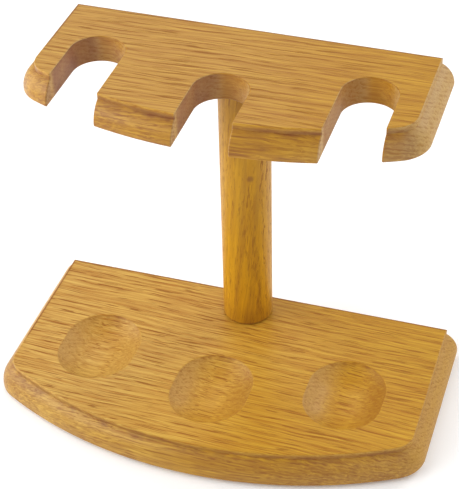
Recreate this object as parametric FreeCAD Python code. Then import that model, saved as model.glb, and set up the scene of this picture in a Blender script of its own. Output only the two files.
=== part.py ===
"""Three-place tobacco pipe stand: two moulded oak boards on one round post."""
import FreeCAD, Part
import math
import os

Vector = FreeCAD.Vector

# ---- Driving dimensions (mm) ----
# Both boards: square back; a raised panel stands inside a rounded moulding on the other edges
PANEL_INSET = 5.4
MOULD_RADIUS = 9.5
STEP_HEIGHT = 2.7
FRONT_RADIUS = 185.0
CORNER_RADIUS = 15.6
ARRIS_ROUND = 0.5

BASE_THICKNESS = 12.9
BASE_WIDTH = 192.0
BASE_SIDE = 78.3
PLATE_THICKNESS = 12.0
PLATE_WIDTH = 167.6
PLATE_SIDE = 53.9
PLATE_OVERHANG = 5.0

# Post between the boards
POST_DIAMETER = 22.2
POST_FROM_BACK = 11.6
POST_LENGTH = 126.1
POST_CHAMFER = 0.6

# Three pipe places, the middle one further forward, measured from the base's back edge
PLACE_PITCH = 56.5
SLOT_WIDTH = 22.8
SLOT_OUTER_FROM_BACK = 28.6
SLOT_MIDDLE_FROM_BACK = 42.0
CUP_OUTER_FROM_BACK = 53.7
CUP_MIDDLE_FROM_BACK = 65.8
CUP_WIDTH = 34.0
CUP_LENGTH = 42.6
CUP_DEPTH = 5.8
CUP_RIM_ROUND = 0.9

# Fluted dowel pin between the post and the rack plate
PIN_DIAMETER = 9.5
PIN_IN_PLATE = 7.0
PIN_IN_POST = 18.0
PIN_END_GAP = 0.5
PIN_CHAMFER = 0.8
PIN_FLUTES = 12
PIN_FLUTE_DIAMETER = 0.9

# Slotted countersunk wood screw, up through the base into the post
SCREW_LENGTH = 38.0
SCREW_DIAMETER = 4.2
SCREW_ROOT_DIAMETER = 3.0
SCREW_HEAD_DIAMETER = 8.2
SCREW_HEAD_HEIGHT = 2.5
SCREW_HEAD_RECESS = 0.6
SCREW_THREAD_LENGTH = 24.0
SCREW_THREAD_PITCH = 2.0
SCREW_POINT_LENGTH = 3.0
SCREW_POINT_DIAMETER = 0.4
SCREW_SLOT_WIDTH = 1.2
SCREW_SLOT_DEPTH = 1.1
SCREW_CLEARANCE = 0.25

# Round felt pads under the base; places are distances from the centre line and the back edge
PAD_DIAMETER = 12.7
PAD_THICKNESS = 1.5
PAD_BACK_PLACE = (80.0, 13.0)
PAD_FRONT_PLACE = (66.0, 76.0)

# ---- Heights and places worked out from them ----
BASE_BOTTOM = PAD_THICKNESS
BASE_TOP = BASE_BOTTOM + BASE_THICKNESS
PLATE_BOTTOM = BASE_TOP + POST_LENGTH
PLATE_TOP = PLATE_BOTTOM + PLATE_THICKNESS
SCREW_HEAD_FACE = BASE_BOTTOM + SCREW_HEAD_RECESS

# The origin is under the middle of the stand, measured from the plate's back to the base's front
FRONT_BULGE = FRONT_RADIUS - math.sqrt(FRONT_RADIUS**2 - (BASE_WIDTH / 2)**2)
STAND_DEPTH = PLATE_OVERHANG + BASE_SIDE + FRONT_BULGE
PLATE_BACK = STAND_DEPTH / 2
BASE_BACK = PLATE_BACK - PLATE_OVERHANG
POST_Y = BASE_BACK - POST_FROM_BACK

# Each place is its x, its slot's y and its cup's y
PLACES = (
    (-PLACE_PITCH, BASE_BACK - SLOT_OUTER_FROM_BACK, BASE_BACK - CUP_OUTER_FROM_BACK),
    (0.0, BASE_BACK - SLOT_MIDDLE_FROM_BACK, BASE_BACK - CUP_MIDDLE_FROM_BACK),
    (PLACE_PITCH, BASE_BACK - SLOT_OUTER_FROM_BACK, BASE_BACK - CUP_OUTER_FROM_BACK),
)
TOLERANCE = 1e-4


def cylinder(diameter, height, x, y, z):
    return Part.makeCylinder(diameter / 2, height, Vector(x, y, z))


def round_edges(shape):
    return [edge for edge in shape.Edges if isinstance(edge.Curve, Part.Circle)]


def outline(width, side, back_y, inset):
    """Face of a board seen from above, drawn in by inset on every edge but the back."""
    half = width / 2 - inset
    arc_centre = back_y - side + math.sqrt(FRONT_RADIUS**2 - (width / 2)**2)
    radius = FRONT_RADIUS - inset
    corner = CORNER_RADIUS - inset
    corner_x = half - corner
    corner_y = arc_centre - math.sqrt((radius - corner)**2 - corner_x**2)
    front_angle = math.atan2(corner_y - arc_centre, corner_x)

    def on_corner(angle, hand):
        return Vector(hand * (corner_x + corner * math.cos(angle)),
                      corner_y + corner * math.sin(angle), 0)

    back_left = Vector(-half, back_y, 0)
    back_right = Vector(half, back_y, 0)
    front_middle = Vector(0, arc_centre - radius, 0)
    edges = [
        Part.LineSegment(back_left, back_right),
        Part.LineSegment(back_right, on_corner(0, 1)),
        Part.Arc(on_corner(0, 1), on_corner(front_angle / 2, 1), on_corner(front_angle, 1)),
        Part.Arc(on_corner(front_angle, 1), front_middle, on_corner(front_angle, -1)),
        Part.Arc(on_corner(front_angle, -1), on_corner(front_angle / 2, -1), on_corner(0, -1)),
        Part.LineSegment(on_corner(0, -1), back_left),
    ]
    return Part.Face(Part.Wire([edge.toShape() for edge in edges]))


def is_level(edge, height):
    box = edge.BoundBox
    return abs(box.ZMin - height) < TOLERANCE and abs(box.ZMax - height) < TOLERANCE


def moulded_board(width, side, back_y, bottom, thickness):
    """Board with a rounded moulding and a raised panel on its two sides and its bowed front.

    The panel's wall meets the round part way up its curve, a step below the panel's top.
    """
    meeting_height = math.sqrt(MOULD_RADIUS**2 - (MOULD_RADIUS - PANEL_INSET)**2)
    blank_height = thickness - STEP_HEIGHT - meeting_height + MOULD_RADIUS
    blank = outline(width, side, back_y, 0).extrude(Vector(0, 0, blank_height))
    rounded = [edge for edge in blank.Edges
               if is_level(edge, blank_height) and edge.BoundBox.YMin < back_y - TOLERANCE]
    blank = blank.makeFillet(MOULD_RADIUS, rounded)
    panel = outline(width, side, back_y, PANEL_INSET).extrude(Vector(0, 0, thickness))
    board = blank.fuse(panel).removeSplitter()
    board.translate(Vector(0, 0, bottom))
    return board


def cup_cutter(x, y):
    """Long round-ended dish: a ball swept a short way from front to back."""
    ball = ((CUP_WIDTH / 2)**2 + CUP_DEPTH**2) / (2 * CUP_DEPTH)
    travel = CUP_LENGTH - CUP_WIDTH
    height = BASE_TOP - CUP_DEPTH + ball
    front = Vector(x, y - travel / 2, height)
    back = Vector(x, y + travel / 2, height)
    barrel = Part.makeCylinder(ball, travel, front, Vector(0, 1, 0))
    return barrel.fuse([Part.makeSphere(ball, front), Part.makeSphere(ball, back)])


def slot_cutter(x, y):
    """Round-ended slot, open at the front, right through the plate."""
    end = cylinder(SLOT_WIDTH, PLATE_THICKNESS, x, y, PLATE_BOTTOM)
    mouth_corner = Vector(x - SLOT_WIDTH / 2, y - STAND_DEPTH, PLATE_BOTTOM)
    mouth = Part.makeBox(SLOT_WIDTH, STAND_DEPTH, PLATE_THICKNESS, mouth_corner)
    return end.fuse(mouth)


def turned(points):
    """Solid turned about the post's axis, from radius and height points up from the screw's head."""
    corners = [Vector(radius, 0, height) for radius, height in points]
    face = Part.Face(Part.makePolygon(corners + corners[:1]))
    solid = face.revolve(Vector(0, 0, 0), Vector(0, 0, 1), 360)
    solid.translate(Vector(0, POST_Y, SCREW_HEAD_FACE))
    return solid


def screw_blank():
    """Screw with a ridged thread and a gimlet point, before its driver slot is cut."""
    crest = SCREW_DIAMETER / 2
    root = SCREW_ROOT_DIAMETER / 2
    thread_start = SCREW_LENGTH - SCREW_THREAD_LENGTH
    thread_end = SCREW_LENGTH - SCREW_POINT_LENGTH
    ridges = int((thread_end - thread_start) / SCREW_THREAD_PITCH)
    points = [(0, 0), (SCREW_HEAD_DIAMETER / 2, 0), (crest, SCREW_HEAD_HEIGHT)]
    for ridge in range(ridges):
        ridge_start = thread_start + ridge * SCREW_THREAD_PITCH
        points.append((crest, ridge_start))
        points.append((root, ridge_start + SCREW_THREAD_PITCH / 4))
        points.append((root, ridge_start + SCREW_THREAD_PITCH / 2))
    points.append((root, thread_end))
    points.append((SCREW_POINT_DIAMETER / 2, SCREW_LENGTH))
    points.append((0, SCREW_LENGTH))
    return turned(points)


def make_screw():
    slot_corner = Vector(-SCREW_HEAD_DIAMETER / 2, POST_Y - SCREW_SLOT_WIDTH / 2, SCREW_HEAD_FACE)
    slot = Part.makeBox(SCREW_HEAD_DIAMETER, SCREW_SLOT_WIDTH, SCREW_SLOT_DEPTH, slot_corner)
    return screw_blank().cut(slot)


def make_dowel_pin():
    """Fluted, chamfered pin with its upper end in the plate and the rest in the post."""
    length = PIN_IN_PLATE + PIN_IN_POST
    bottom = PLATE_BOTTOM - PIN_IN_POST
    pin = cylinder(PIN_DIAMETER, length, 0, POST_Y, bottom)
    pin = pin.makeChamfer(PIN_CHAMFER, round_edges(pin))
    flutes = []
    for number in range(PIN_FLUTES):
        angle = 2 * math.pi * number / PIN_FLUTES
        x = PIN_DIAMETER / 2 * math.cos(angle)
        y = POST_Y + PIN_DIAMETER / 2 * math.sin(angle)
        flutes.append(cylinder(PIN_FLUTE_DIAMETER, length, x, y, bottom))
    return pin.cut(flutes)


def make_base():
    """Lower board: three dished cups above, a countersunk screw hole below."""
    board = moulded_board(BASE_WIDTH, BASE_SIDE, BASE_BACK, BASE_BOTTOM, BASE_THICKNESS)
    arrises = [edge for edge in board.Edges
               if is_level(edge, BASE_TOP) or is_level(edge, BASE_BOTTOM)]
    board = board.makeFillet(ARRIS_ROUND, arrises)
    board = board.cut([cup_cutter(x, cup_y) for x, _, cup_y in PLACES])
    cup_reach = PLACE_PITCH + CUP_WIDTH / 2 + TOLERANCE
    cup_back = BASE_BACK - CUP_OUTER_FROM_BACK + CUP_LENGTH / 2 + TOLERANCE
    cup_front = BASE_BACK - CUP_MIDDLE_FROM_BACK - CUP_LENGTH / 2 - TOLERANCE
    rims = [edge for edge in board.Edges
            if is_level(edge, BASE_TOP) and abs(edge.BoundBox.Center.x) < cup_reach
            and cup_front < edge.BoundBox.YMin and edge.BoundBox.YMax < cup_back]
    board = board.makeFillet(CUP_RIM_ROUND, rims)

    shank_hole = SCREW_DIAMETER + 2 * SCREW_CLEARANCE
    sink = turned([(0, 0), (SCREW_HEAD_DIAMETER / 2, 0), (shank_hole / 2, SCREW_HEAD_HEIGHT),
                   (0, SCREW_HEAD_HEIGHT)])
    return board.cut([
        cylinder(SCREW_HEAD_DIAMETER, SCREW_HEAD_RECESS, 0, POST_Y, BASE_BOTTOM),
        sink,
        cylinder(shank_hole, BASE_THICKNESS, 0, POST_Y, BASE_BOTTOM),
    ])


def make_plate():
    """Upper board: three slots open at the front, a blind hole below for the dowel pin."""
    board = moulded_board(PLATE_WIDTH, PLATE_SIDE, PLATE_BACK, PLATE_BOTTOM, PLATE_THICKNESS)
    board = board.cut([slot_cutter(x, slot_y) for x, slot_y, _ in PLACES])
    slot_mouth = BASE_BACK - SLOT_MIDDLE_FROM_BACK - TOLERANCE
    walls = [x + hand * SLOT_WIDTH / 2 for x, _, _ in PLACES for hand in (-1, 1)]
    arrises = []
    for edge in board.Edges:
        box = edge.BoundBox
        on_wall = any(abs(box.XMin - wall) < TOLERANCE and abs(box.XMax - wall) < TOLERANCE
                      for wall in walls)
        if is_level(edge, PLATE_TOP) or is_level(edge, PLATE_BOTTOM):
            arrises.append(edge)
        elif on_wall and box.YMax < slot_mouth:
            arrises.append(edge)
    board = board.makeFillet(ARRIS_ROUND, arrises)
    return board.cut(cylinder(PIN_DIAMETER, PIN_IN_PLATE + PIN_END_GAP, 0, POST_Y, PLATE_BOTTOM))


def make_post():
    """Round post: a blind pin hole in its upper end, the screw's own hole in its lower end."""
    post = cylinder(POST_DIAMETER, POST_LENGTH, 0, POST_Y, BASE_TOP)
    post = post.makeChamfer(POST_CHAMFER, round_edges(post))
    pin_depth = PIN_IN_POST + PIN_END_GAP
    pin_hole = cylinder(PIN_DIAMETER, pin_depth, 0, POST_Y, PLATE_BOTTOM - pin_depth)
    return post.cut([pin_hole, screw_blank()])


def make_pads():
    """Four felt pads, mirrored left and right under the base."""
    pads = {}
    for row, (x, from_back) in (("back", PAD_BACK_PLACE), ("front", PAD_FRONT_PLACE)):
        for side, hand in (("left", -1), ("right", 1)):
            pad = cylinder(PAD_DIAMETER, PAD_THICKNESS, hand * x, BASE_BACK - from_back, 0)
            pads[f"felt_pad_{row}_{side}"] = pad
    return pads


def main():
    nodes = {
        "base": make_base(),
        "post": make_post(),
        "rack_plate": make_plate(),
        "plate_dowel_pin": make_dowel_pin(),
        "post_screw": make_screw(),
    }
    nodes.update(make_pads())
    os.makedirs("parts", exist_ok=True)
    for name, shape in nodes.items():
        print(name, shape.isValid(), len(shape.Solids), round(shape.Volume), "mm3")
        shape.exportStep(f"parts/{name}.step")


main()
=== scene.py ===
import math
from collections import namedtuple

import bpy
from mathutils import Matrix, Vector


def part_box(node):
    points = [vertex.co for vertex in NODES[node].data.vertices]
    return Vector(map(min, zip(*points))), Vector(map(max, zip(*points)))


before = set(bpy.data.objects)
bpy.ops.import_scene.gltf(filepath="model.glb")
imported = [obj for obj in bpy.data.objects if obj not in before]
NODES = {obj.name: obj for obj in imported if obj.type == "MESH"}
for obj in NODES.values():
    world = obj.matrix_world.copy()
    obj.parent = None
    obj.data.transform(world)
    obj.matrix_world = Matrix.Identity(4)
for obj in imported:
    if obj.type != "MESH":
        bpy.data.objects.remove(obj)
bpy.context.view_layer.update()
MM_PER_M = 1000


# ---- Material helpers ----
class Shader:
    """Short calls for building one material's node tree."""

    def __init__(self, name):
        self.material = bpy.data.materials.new(name)
        self.material.use_nodes = True
        self.tree = self.material.node_tree
        self.tree.nodes.clear()

    def node(self, kind, **settings):
        made = self.tree.nodes.new(kind)
        for key, value in settings.items():
            setattr(made, key, value)
        return made

    def put(self, socket, value):
        """Links a node's output, sets a plain value, or leaves the socket alone when given None."""
        if isinstance(value, bpy.types.NodeSocket):
            self.tree.links.new(value, socket)
        elif value is not None:
            socket.default_value = value

    def coordinate(self, output):
        return self.node("ShaderNodeTexCoord").outputs[output]

    def place_mm(self):
        """Where a point lies on the object, in mm."""
        return self.turned(self.coordinate("Object"), scale=MM_PER_M)

    def math(self, operation, a, b=None, clamp=False):
        made = self.node("ShaderNodeMath", operation=operation, use_clamp=clamp)
        self.put(made.inputs[0], a)
        self.put(made.inputs[1], b)
        return made.outputs[0]

    def add(self, first, *others):
        for value in others:
            first = self.math("ADD", first, value)
        return first

    def times(self, first, *others):
        for value in others:
            first = self.math("MULTIPLY", first, value)
        return first

    def minus(self, a, b):
        return self.math("SUBTRACT", a, b)

    def over(self, a, b):
        return self.math("DIVIDE", a, b)

    def negative(self, value):
        return self.times(value, -1.0)

    def more(self, a, b):
        return self.math("MAXIMUM", a, b)

    def length(self, a, b):
        return self.math("SQRT", self.add(self.times(a, a), self.times(b, b)))

    def smooth(self, value, low, high):
        """0 below low, 1 above high, smooth between."""
        made = self.node("ShaderNodeMapRange", interpolation_type="SMOOTHSTEP")
        self.put(made.inputs["Value"], value)
        self.put(made.inputs["From Min"], low)
        self.put(made.inputs["From Max"], high)
        return made.outputs[0]

    def fade(self, value, low, high):
        """1 below low, 0 above high, smooth between."""
        return self.minus(1.0, self.smooth(value, low, high))

    def stretch(self, value, low, high, new_low, new_high):
        """A straight change from low and high to new_low and new_high, and on past them."""
        made = self.node("ShaderNodeMapRange", clamp=False)
        self.put(made.inputs["Value"], value)
        ends = (("From Min", low), ("From Max", high), ("To Min", new_low), ("To Max", new_high))
        for key, number in ends:
            made.inputs[key].default_value = number
        return made.outputs[0]

    def between(self, value, at_zero, at_one):
        return self.stretch(value, 0, 1, at_zero, at_one)

    def vector(self, x, y, z):
        made = self.node("ShaderNodeCombineXYZ")
        for socket, value in zip(made.inputs, (x, y, z)):
            self.put(socket, value)
        return made.outputs[0]

    def split(self, vector):
        made = self.node("ShaderNodeSeparateXYZ")
        self.put(made.inputs[0], vector)
        return made.outputs[0], made.outputs[1], made.outputs[2]

    def turned(self, vector, rotation=(0, 0, 0), scale=1.0):
        made = self.node("ShaderNodeMapping")
        self.put(made.inputs["Vector"], vector)
        made.inputs["Rotation"].default_value = rotation
        made.inputs["Scale"].default_value = (scale, scale, scale)
        return made.outputs[0]

    def noise(self, vector, detail=2.0):
        """Noise from 0 to 1 with a middle of 0.5 and features about one unit long."""
        made = self.node("ShaderNodeTexNoise")
        self.put(made.inputs["Vector"], vector)
        made.inputs["Scale"].default_value = 1.0
        made.inputs["Detail"].default_value = detail
        return made.outputs["Fac"]

    def wobble(self, vector, amount=1.0):
        """Noise centred on 0, mostly within plus or minus amount."""
        return self.stretch(self.noise(vector), 0.25, 0.75, -amount, amount)

    def mix(self, factor, a, b, kind="RGBA"):
        made = self.node("ShaderNodeMix", data_type=kind)
        self.put(made.inputs["Factor"], factor)
        self.put(made.inputs["A"], a)
        self.put(made.inputs["B"], b)
        return made.outputs["Result"]

    def bump(self, height, distance):
        made = self.node("ShaderNodeBump")
        made.inputs["Distance"].default_value = distance
        self.put(made.inputs["Height"], height)
        return made.outputs[0]

    def surface(self, colour, roughness, normal=None, **extra):
        """Ends the tree; extra sets more of the shader's inputs, with _ for a space."""
        shader = self.node("ShaderNodeBsdfPrincipled")
        self.put(shader.inputs["Base Color"], colour)
        self.put(shader.inputs["Roughness"], roughness)
        self.put(shader.inputs["Normal"], normal)
        for key, value in extra.items():
            self.put(shader.inputs[key.replace("_", " ")], value)
        out = self.node("ShaderNodeOutputMaterial")
        self.tree.links.new(shader.outputs[0], out.inputs["Surface"])
        return self.material


def srgb(red, green, blue):
    """Linear colour from 8-bit display values, by the sRGB curve."""
    def linear(value):
        value /= 255
        return value / 12.92 if value <= 0.04045 else ((value + 0.055) / 1.055)**2.4
    return (linear(red), linear(green), linear(blue), 1.0)


# ---- Oak: its grain ----
# Throughout, a named pair of limits is for smooth or fade, and a named four is for stretch: a range,
# then the values at its two ends. A scale named PER_MM is how many features a noise has per mm.

# Noise cells in mm: length along the grain, width across it, and a shift that sets each noise apart
WAVE = (70, 30, 0)
RIPPLE = (24, 9, 40)
SHAKE_ACROSS = (80, 1.7, 90)
SHAKE_UP = (80, 1.3, 61)
LAYER_BEND = (130, 34, 70)
STREAK = (24, 0.95, 11)
FIBRE = (20, 0.45, 31)
RAY = (4.0, 0.4, 57)
BAND_EDGE = (30, 3, 17)
PORE_WIDTH = 0.45
PORE_SHIFT = 23

# How far the grain, and the depth through its layers, wander with those noises, in mm
WAVE_HEIGHT = 1.2
RIPPLE_HEIGHT = 0.3
SHAKE_ACROSS_HEIGHT = 0.55
SHAKE_UP_HEIGHT = 0.6
LAYER_BEND_HEIGHT = 0.8

# The cosine and sine that turn the noise about the grain, so that its own rows and columns don't show
LATTICE_TURN = (0.8, 0.6)

# The layers' pitch swells over this many layers, by up to this share of a layer
LAYERS_PER_SWELL = 2.5
SWELL = 0.3
# Where in a layer, from 0 to 1, the early wood and its open pores begin and fade
EARLY_BEGINS = (0.0, 0.12)
EARLY_FADES = (0.25, 0.8)

# How squarely a surface cuts the grain: where end grain starts to show and is full, at the end that
# the grain runs towards and at the other end, and where pores start to be cut short
NEAR_END = (0.04, 0.5)
FAR_END = (0.5, 0.95)
CUT_SHORT = (0.03, 0.4)
# Where a surface counts as facing the front, and where it stops counting as upright
FRONTAL = (0.4, 0.9)
UPRIGHT_ENDS = (0.4, 0.75)

# What darkens the wood, as shares of the way from its light to its dark tone
TONE_START = 0.32
STREAK_SHARE = 0.34
FIBRE_SHARE = 0.32
EARLY_SHARE, EARLY_SHARE_CUT_SHORT = 0.22, 0.1
PATCH_SHARE = 0.08
PATCH_PER_MM = 0.022
# How much of the marks is left on the front's moulding
MARKS_ON_MOULDING = 0.65
# How the change from light to warm tone wanders, and by how much of the change; the change is painted
# light
DRIFT_PER_MM = 0.015
DRIFT_WANDER = 0.25

# How high the vessel noise must be for a pore to open, in late and in early wood, and its soft edge
PORE_LATE, PORE_EARLY = 0.66, 0.53
PORE_EDGE = (0.0, 0.06)
# How dark pores are where they are cut short, and how much of that is left at the front and where
# the colour is warmest
PORES_CUT_SHORT = 0.2
PORES_AT_FRONT = 0.6
PORES_AT_WARM_END = 0.7
RAY_SHOWS = (0.62, 0.74)
RAY_STRENGTH = 0.2

# End grain: sizes of blotches and of the pores in its rows in mm, and what darkens it
BLOTCH_ACROSS, BLOTCH_UP = 2.2, 1.1
ROW_DEPTH, ROW_BESIDE, ROW_ALONG = 0.8, 1.7, 50
ROW_SHOWS = (0.44, 0.6)
ROW_STRENGTH = 0.5
CUT_START, CUT_BLOTCH, CUT_TONE = 0.02, 0.1, 0.4
END_GRAIN_STRENGTH = 0.7

# Finish: gloss, roughness of faces, pores and ends, and the relief's share of fibre and its depth in m
SHINE = 0.3
ROUGH_FACE, ROUGH_PORE, ROUGH_END = 0.42, 0.65, 0.55
FIBRE_RELIEF = 0.15
RELIEF_DEPTH = 0.00004

# The two darkest tones, for pores and for stain, are also the colours of painted shade in slots and
# cups, on arrises, at the step's foot and above the post's joint
Tones = namedtuple("Tones", "light warm dark pore end settled")
# The axis along which a piece turns from its light tone to its warm one, and where each is in mm
# The drift is painted light: paler on the boards' -X side for sheen and lamp light, brighter at the
# post's foot for bounce light from the base
Drift = namedtuple("Drift", "axis light_at warm_at")


class Oak(Shader):
    """Golden oak cut from a solid: leaning growth layers, pores and rays that run with the grain.

    turn brings the grain onto the first axis; lean tilts the layers about the grain; spacing is
    their pitch in mm; seed moves the noise so that no two pieces match.
    """

    def __init__(self, name, tones, turn, lean, spacing, seed, drift):
        super().__init__(name)
        self.tones = tones
        self.place = self.place_mm()
        self.x, self.y, self.z = self.split(self.place)
        along, self.across, self.up = self.split(self.turned(self.place, turn))
        self.along = self.add(along, seed)
        self.shake()
        self.find_layers(lean, spacing, seed)
        self.streak = self.wobble(self.cell(*STREAK))
        self.fibre = self.wobble(self.cell(*FIBRE))
        self.find_cuts(turn)
        self.drift = self.find_drift(drift)

    def cell(self, length, width, shift):
        """The place in units of a feature's length along the grain and its width across it."""
        cosine, sine = LATTICE_TURN
        slanted = self.minus(self.times(self.across, cosine), self.times(self.up, sine))
        risen = self.add(self.times(self.across, sine), self.times(self.up, cosine))
        return self.vector(self.over(self.along, length),
                           self.over(self.add(slanted, shift), width),
                           self.over(self.add(risen, shift), width))

    def shake(self):
        """Makes the grain wander a little."""
        wave = self.wobble(self.cell(*WAVE), WAVE_HEIGHT)
        ripple = self.wobble(self.cell(*RIPPLE), RIPPLE_HEIGHT)
        self.across = self.add(self.across, wave, ripple)
        shaken_across = self.wobble(self.cell(*SHAKE_ACROSS), SHAKE_ACROSS_HEIGHT)
        shaken_up = self.wobble(self.cell(*SHAKE_UP), SHAKE_UP_HEIGHT)
        self.across = self.add(self.across, shaken_across)
        self.up = self.add(self.up, shaken_up)

    def find_layers(self, lean, spacing, seed):
        """Sets depth, a point's place through the layers, beside, its place along them across the
        grain, and early, 1 in early wood."""
        cosine, sine = math.cos(lean), math.sin(lean)
        depth = self.add(self.times(self.across, cosine), self.times(self.up, sine))
        self.depth = self.add(depth, self.wobble(self.cell(*LAYER_BEND), LAYER_BEND_HEIGHT))
        self.beside = self.minus(self.times(self.up, cosine), self.times(self.across, sine))
        swell_place = self.vector(self.over(self.depth, LAYERS_PER_SWELL * spacing), seed, 0.0)
        swell = self.wobble(swell_place, SWELL)
        phase = self.math("FRACT", self.add(self.over(self.depth, spacing), swell))
        self.early = self.times(self.smooth(phase, *EARLY_BEGINS), self.fade(phase, *EARLY_FADES))

    def find_cuts(self, turn):
        """Sets how a surface faces: along the grain, to the front, and as end grain."""
        self.normal = self.coordinate("Normal")
        self.normal_x, self.normal_y, self.normal_z = self.split(self.normal)
        self.facing = self.split(self.turned(self.normal, turn))[0]
        self.cut_short = self.smooth(self.math("ABSOLUTE", self.facing), *CUT_SHORT)
        near_end = self.smooth(self.facing, *NEAR_END)
        far_end = self.smooth(self.negative(self.facing), *FAR_END)
        self.end_grain = self.more(near_end, far_end)

    def find_drift(self, drift):
        """0 where the colour is lightest and 1 where it is warmest; the change between them is painted
        light.
        """
        there = {"x": self.x, "z": self.z}[drift.axis]
        change = self.stretch(there, drift.light_at, drift.warm_at, 0, 1)
        wander = self.wobble(self.turned(self.place, scale=DRIFT_PER_MM), DRIFT_WANDER)
        return self.math("ADD", change, wander, clamp=True)

    def find_tone(self, figure, moulding=None):
        """How dark the wood is, from 0 to 1; figure is how strongly its marks show."""
        early_share = self.between(self.cut_short, EARLY_SHARE, EARLY_SHARE_CUT_SHORT)
        marks = self.add(self.times(self.streak, STREAK_SHARE), self.times(self.fibre, FIBRE_SHARE),
                         self.times(self.early, early_share))
        if moulding is not None:
            marks = self.times(marks, self.between(moulding, 1, MARKS_ON_MOULDING))
        patch = self.wobble(self.turned(self.place, scale=PATCH_PER_MM))
        tone = self.add(TONE_START, self.times(marks, figure), self.times(patch, PATCH_SHARE))
        return self.math("MINIMUM", self.more(tone, 0.0), 1.0)

    def find_pores(self, pore_length, pore_strength):
        """How strongly the open pores show, from 0 to 1; they run along the grain."""
        vessel = self.noise(self.cell(pore_length, PORE_WIDTH, PORE_SHIFT), detail=1)
        threshold = self.between(self.early, PORE_LATE, PORE_EARLY)
        pores = self.smooth(self.minus(vessel, threshold), *PORE_EDGE)
        frontal = self.smooth(self.negative(self.normal_y), *FRONTAL)
        return self.times(pores, self.between(self.cut_short, pore_strength, PORES_CUT_SHORT),
                          self.between(frontal, 1, PORES_AT_FRONT))

    def end_grain_colour(self, tone):
        """Sawn or moulded end grain: pale and blotchy, with a row of pores in each layer."""
        blotch = self.wobble(self.vector(self.along, self.over(self.across, BLOTCH_ACROSS),
                                         self.over(self.up, BLOTCH_UP)))
        row = self.vector(self.over(self.depth, ROW_DEPTH), self.over(self.beside, ROW_BESIDE),
                          self.over(self.along, ROW_ALONG))
        row_pores = self.times(self.smooth(self.noise(row, detail=1), *ROW_SHOWS), self.early)
        darker = self.add(CUT_START, self.times(blotch, CUT_BLOTCH), self.times(tone, CUT_TONE))
        cut = self.mix(darker, self.tones.end, self.tones.dark)
        return self.mix(self.times(row_pores, ROW_STRENGTH), cut, self.tones.pore)

    def wood_colour(self, tone, pores):
        """The wood's colour, with the painted light of its drift, before stain and painted shade are
        laid on it.
        """
        # Painted light: the drift between the light and warm tones
        painted_drift_tone = self.mix(self.drift, self.tones.light, self.tones.warm)
        colour = self.mix(tone, painted_drift_tone, self.tones.dark)
        ends = self.times(self.end_grain, END_GRAIN_STRENGTH)
        colour = self.mix(ends, colour, self.end_grain_colour(tone))
        ray = self.smooth(self.noise(self.cell(*RAY), detail=1), *RAY_SHOWS)
        colour = self.mix(self.times(ray, RAY_STRENGTH), colour, self.tones.pore)
        pores = self.times(pores, self.between(self.drift, 1, PORES_AT_WARM_END))
        return self.mix(pores, colour, self.tones.pore)

    def finished(self, colour, pores, shine=SHINE):
        """Ends the tree with a satin finish that dips into the pores."""
        height = self.minus(self.times(self.fibre, FIBRE_RELIEF), pores)
        roughness = self.more(self.between(pores, ROUGH_FACE, ROUGH_PORE),
                              self.times(self.end_grain, ROUGH_END))
        relief = self.bump(height, RELIEF_DEPTH)
        return self.surface(colour, roughness, relief, Specular_IOR_Level=shine)


# ---- Oak: stain and painted shade on the boards ----
# The moulded boards' driving sizes in mm, as in the CAD
STEP_HEIGHT = 2.7
PANEL_INSET = 5.4
FRONT_RADIUS = 185.0
CORNER_RADIUS = 15.6
# Stands for "not in a corner"
FAR_INSIDE = -100.0

# How much further round a corner the front's stain reaches, from one x to another, and where it ends
CORNER_REACH = (-30, 30, 6.0, 0.0)
CORNER_BLEND = (-7.0, 1.0)
# The moulding, as distance past the panel, and how its brown patches gather
MOULDING_BEGINS = (0.2, 1.5)
BROWN_PER_MM = 0.05
BROWN_STREAK = 0.12
BROWN_SHOWS = (0.42, 0.6)
BROWN_LEAST, BROWN_MOST = 0.06, 0.28
MOULDING_MARK = 0.1

# The dark line at the foot of the panel's step, painted shade in its crease and stain gathered there:
# its wavy lower edge and its top, from the foot in mm
LINE_OUTSIDE = (-0.3, -0.1)
LINE_DROP = 1.1
LINE_SOFTNESS = 1.6
LINE_TOP = (0.9, 2.3)
LINE_WAVE_PER_MM = 0.16
LINE_PATCH_PER_MM = 0.09
LINE_PATCHES = (0.3, 0.7, 0.5, 1.1)
LINE_STRENGTH = 0.6

# Painted shade along the arrises: how far in from the panel's side, back and top it reaches, in mm
ARRIS_SIDE = (-1.2, -0.7)
ARRIS_BACK = (-1.3, -0.8)
ARRIS_TOP = (-0.9, -0.5)
ARRIS_STRENGTH = 0.75

# Slot walls: how far they are inside the bowed front and the sides, which way they face, and how
# the painted shade on them changes along x and in clouds, and how much the finish there is dulled
SLOT_INSIDE_FRONT = (-9.0, -5.0)
SLOT_INSIDE_SIDE = 2.0
SLOT_FACING = (-1.0, -0.45)
SLOT_STRONGER_FACING = (0.2, 0.7)
SLOT_WEAK, SLOT_STRONG = 0.3, 0.6
SLOT_ALONG_X = (-20, 60, 1, 0.85)
SLOT_CLOUD_PER_MM = 0.12
SLOT_CLOUDS = (0.3, 0.7, 0.85, 1.15)
SLOT_DULLS = (-20, 60, 0.1, 0.3)
SLOT_BROWNER = (0, 60)

# Dished cups: sloping surfaces of the panel, at least so far under its top, and their two parts with
# painted shade, which are the wall that faces the -X end and a ragged patch under the back of the rim
CUP_PAST = -0.6
CUP_SLOPE = 0.3
CUP_UNDER_TOP = 0.08
CUP_FACES_LEFT = (0.1, 0.5)
CUP_FACES_FRONT = (0.25, 0.55)
CUP_LEFT_ALONG_X = (-60, 60, 0.15, 0.42)
CUP_RIM = (-1.8, -0.3)
CUP_PATCH_PER_MM = 0.3
CUP_PATCHES = (0.35, 0.65, 0.1, 0.6)

Board = namedtuple("Board", "width arc_centre back top")


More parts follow.
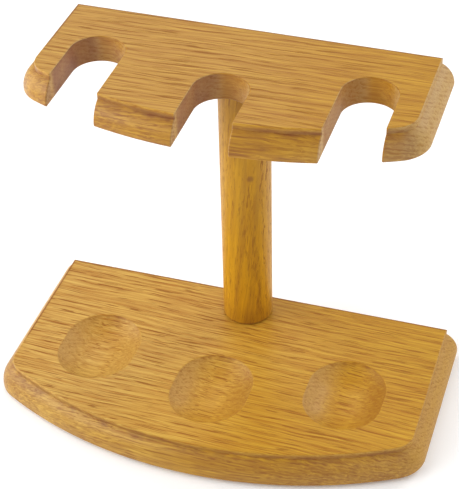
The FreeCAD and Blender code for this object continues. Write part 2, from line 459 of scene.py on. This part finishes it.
def board_from(node):
    """A moulded board's width, the centre of its bowed front, its back and its top, in mm."""
    low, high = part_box(node)
    return Board(width=(high.x - low.x) * MM_PER_M, arc_centre=low.y * MM_PER_M + FRONT_RADIUS,
                 back=high.y * MM_PER_M, top=high.z * MM_PER_M)


def past_panel(s, board):
    """How far a point lies outside a board's raised panel, and 1 at the front rather than the sides."""
    side = s.math("ABSOLUTE", s.x)
    past_side = s.minus(side, board.width / 2 - PANEL_INSET)
    from_centre = s.length(s.x, s.minus(s.y, board.arc_centre))
    past_front = s.minus(from_centre, FRONT_RADIUS - PANEL_INSET)
    corner_x = board.width / 2 - CORNER_RADIUS
    corner_y = board.arc_centre - math.sqrt((FRONT_RADIUS - CORNER_RADIUS)**2 - corner_x**2)
    out_x = s.minus(side, corner_x)
    out_y = s.minus(corner_y, s.y)
    past_corner = s.minus(s.length(out_x, out_y), CORNER_RADIUS - PANEL_INSET)
    in_corner = s.times(s.math("GREATER_THAN", out_x, 0.0), s.math("GREATER_THAN", out_y, 0.0))
    past_corner = s.mix(in_corner, FAR_INSIDE, past_corner, kind="FLOAT")
    past = s.more(s.more(past_side, past_front), past_corner)
    reach = s.stretch(s.x, *CORNER_REACH)
    at_front = s.smooth(s.add(s.minus(past_front, past_side), reach), *CORNER_BLEND)
    return past, at_front


def moulding_stain(s, moulding):
    """Brown patches on the front's moulding, darker along streaks and early wood."""
    patches = s.add(s.noise(s.turned(s.place, scale=BROWN_PER_MM)), s.times(s.streak, BROWN_STREAK))
    brown = s.between(s.smooth(patches, *BROWN_SHOWS), BROWN_LEAST, BROWN_MOST)
    layered = s.add(brown, s.times(s.early, MOULDING_MARK), s.times(s.streak, MOULDING_MARK))
    return s.times(moulding, s.more(layered, 0.0))


def step_shade_and_stain(s, past, at_front, top):
    """1 where the front foot of a board's raised panel gets painted shade in its crease, with stain
    gathered there.
    """
    foot = top - STEP_HEIGHT
    wave = s.wobble(s.turned(s.place, scale=LINE_WAVE_PER_MM))
    lower = s.add(wave, foot - LINE_DROP)
    above = s.smooth(s.z, lower, s.add(lower, LINE_SOFTNESS))
    below = s.fade(s.z, foot + LINE_TOP[0], foot + LINE_TOP[1])
    strength = s.stretch(s.noise(s.turned(s.place, scale=LINE_PATCH_PER_MM)), *LINE_PATCHES)
    outside = s.smooth(past, *LINE_OUTSIDE)
    return s.math("MULTIPLY", s.times(outside, at_front, above, below), strength, clamp=True)


def painted_edge_shade(s, past, at_front, board):
    """1 along the arrises at the left side and back of a board's raised panel, where shade is painted.
    """
    near_side = s.times(s.smooth(past, *ARRIS_SIDE), s.minus(1.0, at_front))
    near_left = s.times(near_side, s.math("LESS_THAN", s.x, 0.0))
    near_back = s.smooth(s.y, board.back + ARRIS_BACK[0], board.back + ARRIS_BACK[1])
    near_top = s.smooth(s.z, board.top + ARRIS_TOP[0], board.top + ARRIS_TOP[1])
    return s.times(s.more(near_left, near_back), near_top)


def slot_wall_shade(s, board):
    """Painted shade on upright walls cut inside a board's moulding, most on those that face the +X end,
    away from the left lamps.
    """
    from_centre = s.length(s.x, s.minus(s.y, board.arc_centre))
    front_near, front_far = SLOT_INSIDE_FRONT
    inside_front = s.fade(from_centre, FRONT_RADIUS + front_near, FRONT_RADIUS + front_far)
    side_limit = board.width / 2 - PANEL_INSET - SLOT_INSIDE_SIDE
    inside_side = s.math("LESS_THAN", s.math("ABSOLUTE", s.x), side_limit)
    upright = s.fade(s.normal_z, *UPRIGHT_ENDS)
    strength = s.between(s.smooth(s.facing, *SLOT_STRONGER_FACING), SLOT_WEAK, SLOT_STRONG)
    strength = s.times(strength, s.stretch(s.x, *SLOT_ALONG_X))
    cloud = s.stretch(s.noise(s.turned(s.place, scale=SLOT_CLOUD_PER_MM)), *SLOT_CLOUDS)
    faces_right = s.smooth(s.facing, *SLOT_FACING)
    return s.times(upright, s.times(inside_front, inside_side), faces_right, strength, cloud)


def cup_shade(s, past, top):
    """Painted shade in the dished cups: on the walls that face the -X end, and under the back of the
    rim.
    """
    on_panel = s.math("LESS_THAN", past, CUP_PAST)
    sloping = s.math("GREATER_THAN", s.normal_z, CUP_SLOPE)
    in_cup = s.times(on_panel, sloping, s.math("LESS_THAN", s.z, top - CUP_UNDER_TOP))
    faces_left = s.smooth(s.negative(s.normal_x), *CUP_FACES_LEFT)
    on_right = s.times(faces_left, s.stretch(s.x, *CUP_LEFT_ALONG_X))
    faces_front = s.smooth(s.negative(s.normal_y), *CUP_FACES_FRONT)
    at_rim = s.smooth(s.z, top + CUP_RIM[0], top + CUP_RIM[1])
    ragged = s.stretch(s.noise(s.turned(s.place, scale=CUP_PATCH_PER_MM)), *CUP_PATCHES)
    on_back = s.times(faces_front, at_rim, ragged)
    return s.times(in_cup, s.more(on_right, on_back))


def board_oak(name, tones, board, turn, lean, spacing, seed, drift, pore_length):
    """Oak of a moulded board, with stain on its moulding, painted shade and stain at the foot of its
    step, and painted shade in its slots and cups and on its edges.
    """
    s = Oak(name, tones, turn, lean, spacing, seed, drift)
    past, at_front = past_panel(s, board)
    moulding = s.times(s.smooth(past, *MOULDING_BEGINS), at_front)
    tone = s.find_tone(BOARD_FIGURE, moulding)
    pores = s.find_pores(pore_length, BOARD_PORES)
    colour = s.wood_colour(tone, pores)

    colour = s.mix(moulding_stain(s, moulding), colour, tones.settled)
    # Painted shade in the crease at the foot of the step, with stain gathered there
    line = s.times(step_shade_and_stain(s, past, at_front, board.top), LINE_STRENGTH)
    colour = s.mix(line, colour, tones.settled)
    # Painted shade on the slot walls, most on those that face +X, away from the left lamps
    slot_shade = slot_wall_shade(s, board)
    slot_shade_tone = s.mix(s.smooth(s.x, *SLOT_BROWNER), tones.settled, tones.pore)
    colour = s.mix(slot_shade, colour, slot_shade_tone)
    # Painted shade in the cups
    colour = s.mix(cup_shade(s, past, board.top), colour, tones.pore)
    # Painted shade along the left and back arrises
    edge_shade = s.times(painted_edge_shade(s, past, at_front, board), ARRIS_STRENGTH)
    colour = s.mix(edge_shade, colour, tones.pore)
    dulled = s.times(slot_shade, s.stretch(s.x, *SLOT_DULLS))
    return s.finished(colour, pores, s.minus(SHINE, dulled))


# ---- Oak: stain and painted shade on the post ----
# Heights above the base, in mm, of the dark ring at the joint and of the painted shade, browner, over
# it
RING_ENDS = (0.3, 1.6)
RING_STRENGTH = 0.5
CAST_ENDS = (2.0, 16.0)
CAST_STRENGTH = 0.3
# A brown band down one face, how far that face is turned from the front, and its ragged edge
BAND_TURN = math.radians(-16)
BAND_FACES = (0.75, 0.95)
BAND_RAGGED = (0.35, 0.6, 0, 1)
BAND_STRENGTH = 0.22
# A pin knot: its place and reach in mm
KNOT_PLACE = (5.1, 28.6, 96.0)
KNOT_ENDS = (0.6, 2.2)
KNOT_STRENGTH = 0.55


def post_oak(name, tones, foot, turn, lean, spacing, seed, drift, pore_length):
    """Oak of the round post, with a brown band and a pin knot, stain in its joint at the foot, and
    painted shade over that joint.
    """
    s = Oak(name, tones, turn, lean, spacing, seed, drift)
    tone = s.find_tone(POST_FIGURE)
    pores = s.find_pores(pore_length, POST_PORES)
    colour = s.wood_colour(tone, pores)

    height = s.minus(s.z, foot)
    ring = s.times(s.fade(height, *RING_ENDS), RING_STRENGTH)
    cast = s.times(s.fade(height, *CAST_ENDS), CAST_STRENGTH)
    band_normal = s.split(s.turned(s.normal, (0, 0, BAND_TURN)))[1]
    band = s.smooth(s.negative(band_normal), *BAND_FACES)
    ragged = s.stretch(s.noise(s.cell(*BAND_EDGE)), *BAND_RAGGED)
    from_knot = s.node("ShaderNodeVectorMath", operation="DISTANCE")
    s.put(from_knot.inputs[0], s.place)
    s.put(from_knot.inputs[1], KNOT_PLACE)
    knot = s.times(s.fade(from_knot.outputs["Value"], *KNOT_ENDS), KNOT_STRENGTH)
    colour = s.mix(s.times(band, ragged, BAND_STRENGTH), colour, tones.settled)
    # Painted shade, darker and browner, just above the post's joint with the base
    colour = s.mix(cast, colour, tones.pore)
    colour = s.mix(s.more(ring, knot), colour, tones.settled)
    return s.finished(colour, pores)


# ---- Oak: the three pieces ----
# How strongly fibres are marked and how dark the pores are
BOARD_FIGURE, BOARD_PORES = 1.0, 0.8
POST_FIGURE, POST_PORES = 0.6, 0.75

# The boards' change to their light tone towards -X is painted sheen and lamp light; the post's brighter
# warm tone at its foot is painted bounce light from the base
BASE_TONES = Tones(light=srgb(208, 168, 82), warm=srgb(205, 158, 44), dark=srgb(166, 106, 18),
                   pore=srgb(132, 72, 8), end=srgb(189, 147, 76), settled=srgb(118, 62, 44))
PLATE_TONES = Tones(light=srgb(202, 157, 68), warm=srgb(202, 151, 42), dark=srgb(163, 103, 20),
                    pore=srgb(133, 76, 12), end=srgb(190, 160, 106), settled=srgb(118, 62, 48))
POST_TONES = Tones(light=srgb(205, 155, 26), warm=srgb(229, 171, 32), dark=srgb(168, 110, 18),
                   pore=srgb(128, 74, 22), end=srgb(190, 150, 74), settled=srgb(116, 62, 44))

base_board = board_from("base")
plate_board = board_from("rack_plate")
materials = {
    "base": board_oak("oak_base", BASE_TONES, base_board,
                      turn=(0, 0, math.radians(1.5)), lean=math.radians(63), spacing=1.25,
                      seed=0.0, drift=Drift("x", light_at=-80, warm_at=50), pore_length=12),
    "rack_plate": board_oak("oak_plate", PLATE_TONES, plate_board,
                            turn=(0, 0, math.radians(-1.5)), lean=math.radians(58), spacing=1.8,
                            seed=400.0, drift=Drift("x", light_at=-80, warm_at=60), pore_length=17),
    "post": post_oak("oak_post", POST_TONES, base_board.top,
                     turn=(0, math.radians(84), 0), lean=math.radians(20), spacing=2.6,
                     seed=900.0, drift=Drift("z", light_at=80, warm_at=15), pore_length=5),
}


# ---- Small parts ----
# Sizes of their features are per mm along x, y and z; relief depths are in metres
BEECH_FIBRES = (3.0, 3.0, 0.2)
BEECH_RAYS = (2.0, 5.0, 0.7)
BEECH_RAY_SHOWS = (0.6, 0.7)
BEECH_RAY_STRENGTH = 0.5
BEECH_ROUGHNESS = 0.6
BEECH_RELIEF = 0.00004
ZINC_RINGS = (0.3, 0.3, 9.0)
ZINC_PATCH_PER_MM = 0.6
ZINC_SMOOTH, ZINC_ROUGH = 0.25, 0.5
ZINC_RELIEF = 0.00001
FELT_MAT_PER_MM = 1.1
FELT_MAT_SHIFT = 4.0
FELT_FIBRES = 6.0
FELT_LAYERS = 5.0
FELT_LIGHT_SHOWS = (0.4, 0.75)
FELT_ROUGHNESS = 0.95
FELT_RELIEF = 0.00025
FELT_SHEEN = 0.4


def scaled(s, place, scales):
    """The place with its own scale on each axis."""
    parts = [s.times(part, scale) for part, scale in zip(s.split(place), scales)]
    return s.vector(*parts)


def beech(name):
    """Bare beech with fine upright fibres and short ray flecks."""
    s = Shader(name)
    place = s.place_mm()
    fibre = s.wobble(scaled(s, place, BEECH_FIBRES))
    rays = s.smooth(s.noise(scaled(s, place, BEECH_RAYS), detail=1), *BEECH_RAY_SHOWS)
    colour = s.mix(s.stretch(fibre, -1, 1, 0, 1), srgb(224, 190, 144), srgb(196, 156, 108))
    colour = s.mix(s.times(rays, BEECH_RAY_STRENGTH), colour, srgb(158, 112, 70))
    return s.surface(colour, BEECH_ROUGHNESS, s.bump(fibre, BEECH_RELIEF))


def zinc(name):
    """Bright zinc plate with turning marks round the axis and a faint yellow cast in patches."""
    s = Shader(name)
    place = s.place_mm()
    rings = s.wobble(scaled(s, place, ZINC_RINGS))
    patch = s.noise(s.turned(place, scale=ZINC_PATCH_PER_MM), detail=3)
    colour = s.mix(patch, srgb(200, 202, 204), srgb(190, 182, 158))
    roughness = s.between(patch, ZINC_SMOOTH, ZINC_ROUGH)
    return s.surface(colour, roughness, s.bump(rings, ZINC_RELIEF), Metallic=1.0)


def felt(name):
    """Pressed felt: matted crossing fibres in two browns."""
    s = Shader(name)
    place = s.place_mm()
    matted = s.times(s.noise(s.turned(place, scale=FELT_MAT_PER_MM)), FELT_MAT_SHIFT)
    x, y, z = s.split(place)
    layer = s.times(z, FELT_LAYERS)
    lengthways = s.noise(s.vector(s.times(x, FELT_FIBRES), s.add(y, matted), layer))
    crossways = s.noise(s.vector(s.add(x, matted), s.times(y, FELT_FIBRES), layer))
    fibres = s.more(lengthways, crossways)
    colour = s.mix(s.smooth(fibres, *FELT_LIGHT_SHOWS), srgb(44, 32, 24), srgb(92, 70, 54))
    return s.surface(colour, FELT_ROUGHNESS, s.bump(fibres, FELT_RELIEF), Sheen_Weight=FELT_SHEEN)


materials["plate_dowel_pin"] = beech("beech")
materials["post_screw"] = zinc("zinc_plate")
pad_felt = felt("felt")
for name, node in NODES.items():
    node.data.materials.clear()
    node.data.materials.append(materials.get(name, pad_felt))

# ---- Floor ----
WHITE = (1, 1, 1, 1)
FLOOR_COLOUR = (0.95, 0.95, 0.95, 1)
FLOOR_ROUGHNESS = 0.9
FLOOR_GLOW = 0.1
FLOOR_SIZE = 4
# Just below the pads, so that the two faces don't lie in one plane
FLOOR_HEIGHT = -0.0002
bpy.ops.mesh.primitive_plane_add(size=FLOOR_SIZE, location=(0, 0, FLOOR_HEIGHT))
floor = bpy.context.object
floor.name = "floor"
floor_white = Shader("floor_white").surface(FLOOR_COLOUR, FLOOR_ROUGHNESS,
                                            Emission_Color=WHITE, Emission_Strength=FLOOR_GLOW)
floor.data.materials.append(floor_white)

# ---- Light ----
WORLD_STRENGTH = 0.35
world = bpy.data.worlds.new("studio")
bpy.context.scene.world = world
world.use_nodes = True
background = world.node_tree.nodes["Background"]
background.inputs["Color"].default_value = WHITE
background.inputs["Strength"].default_value = WORLD_STRENGTH

# Name, place in metres and power in watts of each soft box; all are turned to the stand
STAND_MIDDLE = Vector((0, 0, 0.08))
SOFT_BOX_SIZE = 0.4
SOFT_BOXES = (
    ("left_low", (-0.6, 0.0, 0.25), 1.53),
    ("left_high", (-0.45, 0.0, 0.6), 0.8),
    ("left_front", (-0.5, -0.4, 0.45), 2.6),
    ("right_front", (0.5, -0.4, 0.45), 0.88),
    ("right_middle", (0.5, 0.1, 0.4), 0.75),
    ("back_left", (-0.25, 0.56, 0.7), 1.15),
    ("back_right", (0.45, 0.7, 0.45), 2.8),
)


def aim(thing, direction):
    """Turns a light or the camera to look along direction."""
    thing.rotation_mode = "QUATERNION"
    thing.rotation_quaternion = direction.to_track_quat("-Z", "Y")


def soft_box(name, place, power):
    data = bpy.data.lights.new(name, "AREA")
    data.shape = "SQUARE"
    data.size = SOFT_BOX_SIZE
    data.energy = power
    light = bpy.data.objects.new(name, data)
    bpy.context.scene.collection.objects.link(light)
    light.location = place
    aim(light, STAND_MIDDLE - Vector(place))


for name, place, power in SOFT_BOXES:
    soft_box(name, place, power)

# ---- Camera ----
# Azimuth goes round to the right from straight ahead; lengths are in metres and the lens in mm
AZIMUTH = math.radians(16.18)
ELEVATION = math.radians(38.44)
DISTANCE = 0.6266
AIM = Vector((0.02385, 0.01169, 0.07926))
LENS = 110.81
SHIFT_X, SHIFT_Y = -0.107, -0.0045
backward = Vector((math.sin(AZIMUTH) * math.cos(ELEVATION),
                   -math.cos(AZIMUTH) * math.cos(ELEVATION), math.sin(ELEVATION)))
camera = bpy.data.objects.new("camera", bpy.data.cameras.new("camera"))
bpy.context.scene.collection.objects.link(camera)
camera.location = AIM + backward * DISTANCE
aim(camera, -backward)
camera.data.lens = LENS
camera.data.shift_x = SHIFT_X
camera.data.shift_y = SHIFT_Y
bpy.context.scene.camera = camera
bpy.context.scene.view_settings.view_transform = "Standard"
